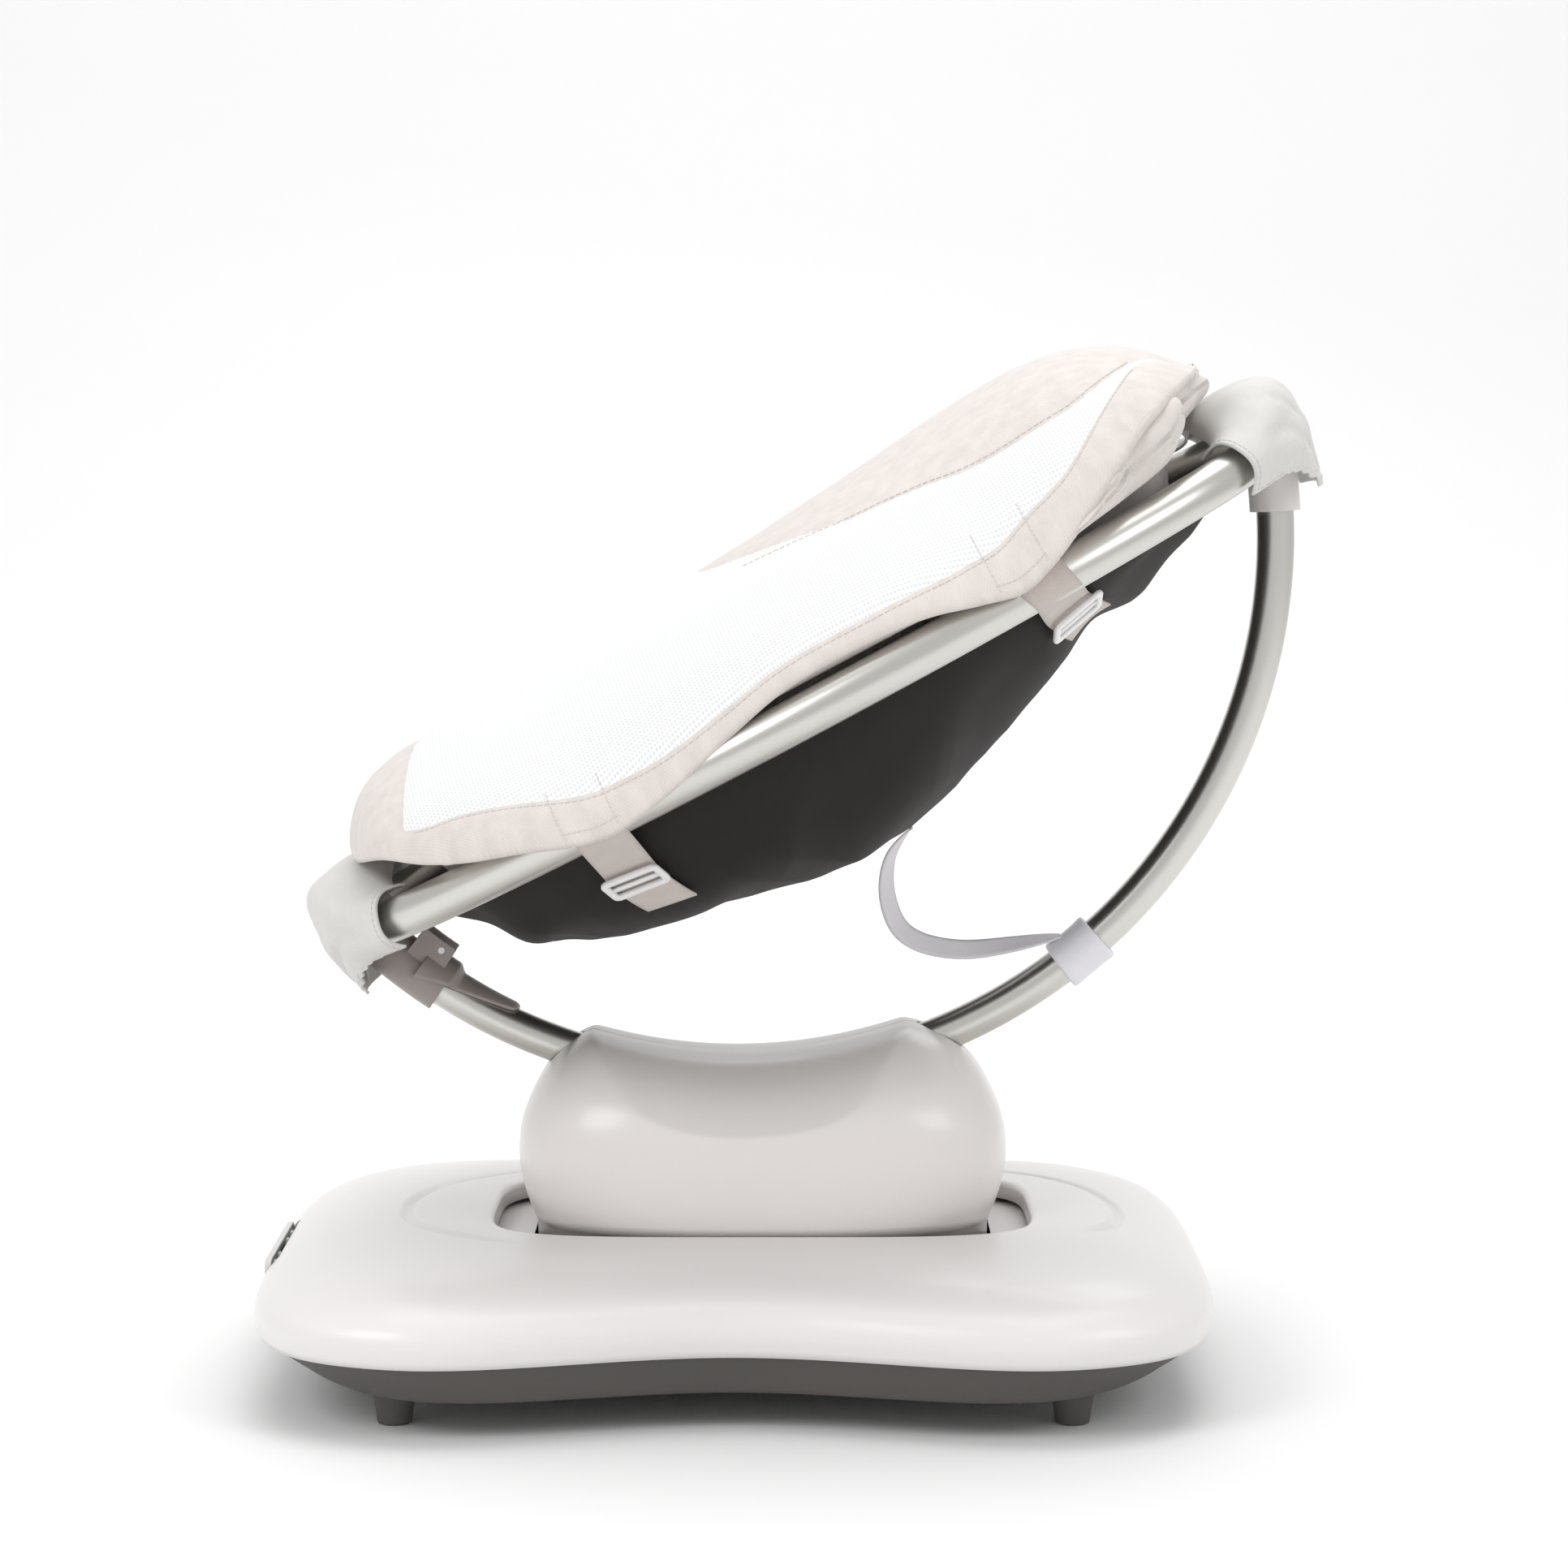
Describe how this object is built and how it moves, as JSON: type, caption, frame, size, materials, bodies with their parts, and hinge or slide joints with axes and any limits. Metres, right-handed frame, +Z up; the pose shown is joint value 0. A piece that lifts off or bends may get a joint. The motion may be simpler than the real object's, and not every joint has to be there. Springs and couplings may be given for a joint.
{
  "type": "baby swing",
  "caption": "Powered infant swing: low base with gliding, lifting tower, a curved tube through it, and a padded oval seat ring.",
  "frame": {"origin": "on the floor, under the middle of the whole swing's bounding box", "axes": "+X towards the head end of the seat, +Y towards the far side, +Z up; the swing is close to symmetric about the plane Y = 0"},
  "size_m": [0.6339, 0.4626, 0.6102],
  "materials": {
    "cover_plastic": "satin moulded white",
    "tower_plastic": "satin moulded warm white",
    "pan_plastic": "fine-textured dark grey",
    "foot_rubber": "matt",
    "trim_plastic": "smooth white",
    "handle_plastic": "satin grey-brown",
    "inner_plastic": "moulded mid grey",
    "roller_plastic": "moulded black",
    "bright_steel": "ground bar",
    "satin_alloy": "satin anodised tube",
    "bearing_bronze": "sintered",
    "motor_metal": "zinc plated can",
    "board_resin": "solder-masked board",
    "window_plastic": "smoked clear",
    "sling_fabric": "black woven nylon",
    "pad_fabric": "white spacer mesh and beige jersey",
    "hood_fabric": "light grey jersey",
    "strap_webbing": "woven beige webbing",
    "tether_webbing": "woven white webbing"
  },
  "bodies": {
    "base": {"base_pan": "pan_plastic", "base_cover": "cover_plastic", "foot_front_left": "foot_rubber", "foot_front_right": "foot_rubber", "foot_rear_left": "foot_rubber", "foot_rear_right": "foot_rubber", "cover_screws": "bright_steel", "rail_front": "bright_steel", "rail_rear": "bright_steel", "rail_blocks": "inner_plastic", "glide_motor": "motor_metal", "control_board": "board_resin", "control_fascia": "trim_plastic", "display_window": "window_plastic", "dc_inlet": "roller_plastic"},
    "button_power": {"button_power": "trim_plastic"},
    "button_motion": {"button_motion": "trim_plastic"},
    "button_speed": {"button_speed": "trim_plastic"},
    "button_sound": {"button_sound": "trim_plastic"},
    "glide_pinion": {"glide_pinion": "trim_plastic"},
    "carriage": {"carriage_plate": "bright_steel", "slide_bushes": "inner_plastic", "glide_rack": "inner_plastic", "lift_posts": "bright_steel", "lift_motor": "motor_metal", "slot_shutter": "cover_plastic", "screw_bearing": "bright_steel"},
    "lift_screw": {"lift_screw": "bright_steel"},
    "tower": {"tower_front_shell": "tower_plastic", "tower_rear_shell": "tower_plastic", "tower_platform": "inner_plastic", "post_bushes": "bearing_bronze", "lift_nut": "bearing_bronze", "bow_cradle": "inner_plastic", "roller_pins": "bright_steel", "tower_screws": "bright_steel"},
    "guide_roller_foot": {"guide_roller_foot": "roller_plastic"},
    "guide_roller_head": {"guide_roller_head": "roller_plastic"},
    "seat": {"bow_tube": "satin_alloy", "ring_tube_near": "satin_alloy", "ring_tube_far": "satin_alloy", "foot_hub": "handle_plastic", "head_hub": "tower_plastic", "hub_screws": "bright_steel", "lever_pin": "bright_steel", "sling": "sling_fabric", "seat_pad": "pad_fabric", "foot_hood": "hood_fabric", "head_hood": "hood_fabric", "foot_straps": "strap_webbing", "head_straps": "strap_webbing", "strap_buckles": "trim_plastic", "tether_strap": "tether_webbing"},
    "recline_lever": {"recline_lever": "handle_plastic"},
    "strap_clip": {"strap_clip": "trim_plastic"}
  },
  "joints": [
    {"name": "glide", "type": "slide", "parent": "base", "child": "carriage", "axis": [1, 0, 0], "range_m": [-0.022, 0.022]},
    {"name": "glide_pinion_spin", "type": "hinge", "parent": "base", "child": "glide_pinion", "pos_m": [-0.019, 0.0495, 0.042], "axis": [0, 0, 1], "range_deg": [-100, 100]},
    {"name": "lift", "type": "slide", "parent": "carriage", "child": "tower", "axis": [0, 0, 1], "range_m": [0, 0.028]},
    {"name": "lift_screw_spin", "type": "hinge", "parent": "carriage", "child": "lift_screw", "pos_m": [-0.019, 0, 0.08], "axis": [0, 0, 1], "range_deg": [-2580, 0]},
    {"name": "recline", "type": "hinge", "parent": "tower", "child": "seat", "pos_m": [-0.035, 0, 0.498], "axis": [0, 1, 0], "range_deg": [-4, 22]},
    {"name": "roller_foot_spin", "type": "hinge", "parent": "tower", "child": "guide_roller_foot", "pos_m": [-0.084, 0, 0.15796], "axis": [0, 1, 0], "range_deg": [-960, 200]},
    {"name": "roller_head_spin", "type": "hinge", "parent": "tower", "child": "guide_roller_head", "pos_m": [0.04695, 0, 0.16437], "axis": [0, 1, 0], "range_deg": [-960, 200]},
    {"name": "lever_pull", "type": "hinge", "parent": "seat", "child": "recline_lever", "pos_m": [-0.21268, 0, 0.25164], "axis": [0, -1, 0], "range_deg": [0, 12], "stiffness_Nm_per_rad": 0.6, "springref_deg": -14.32},
    {"name": "clip_slide", "type": "hinge", "parent": "seat", "child": "strap_clip", "pos_m": [-0.035, 0, 0.498], "axis": [0, 1, 0], "range_deg": [-14, 3]},
    {"name": "press_power", "type": "slide", "parent": "base", "child": "button_power", "axis": [1, 0, 0], "range_m": [0, 0.0012], "stiffness_N_per_m": 600, "springref_m": -0.0008},
    {"name": "press_motion", "type": "slide", "parent": "base", "child": "button_motion", "axis": [1, 0, 0], "range_m": [0, 0.0012], "stiffness_N_per_m": 600, "springref_m": -0.0008},
    {"name": "press_speed", "type": "slide", "parent": "base", "child": "button_speed", "axis": [1, 0, 0], "range_m": [0, 0.0012], "stiffness_N_per_m": 600, "springref_m": -0.0008},
    {"name": "press_sound", "type": "slide", "parent": "base", "child": "button_sound", "axis": [1, 0, 0], "range_m": [0, 0.0012], "stiffness_N_per_m": 600, "springref_m": -0.0008}
  ],
  "couplings": [
    {"joint": "glide_pinion_spin", "follows": "glide", "rad_per_m": 74.074},
    {"joint": "lift_screw_spin", "follows": "lift", "rad_per_m": -1570.8},
    {"joint": "roller_foot_spin", "follows": "recline", "ratio": -41.906},
    {"joint": "roller_head_spin", "follows": "recline", "ratio": -41.906},
    {"joint": "clip_slide", "follows": "recline", "ratio": -0.6}
  ]
}
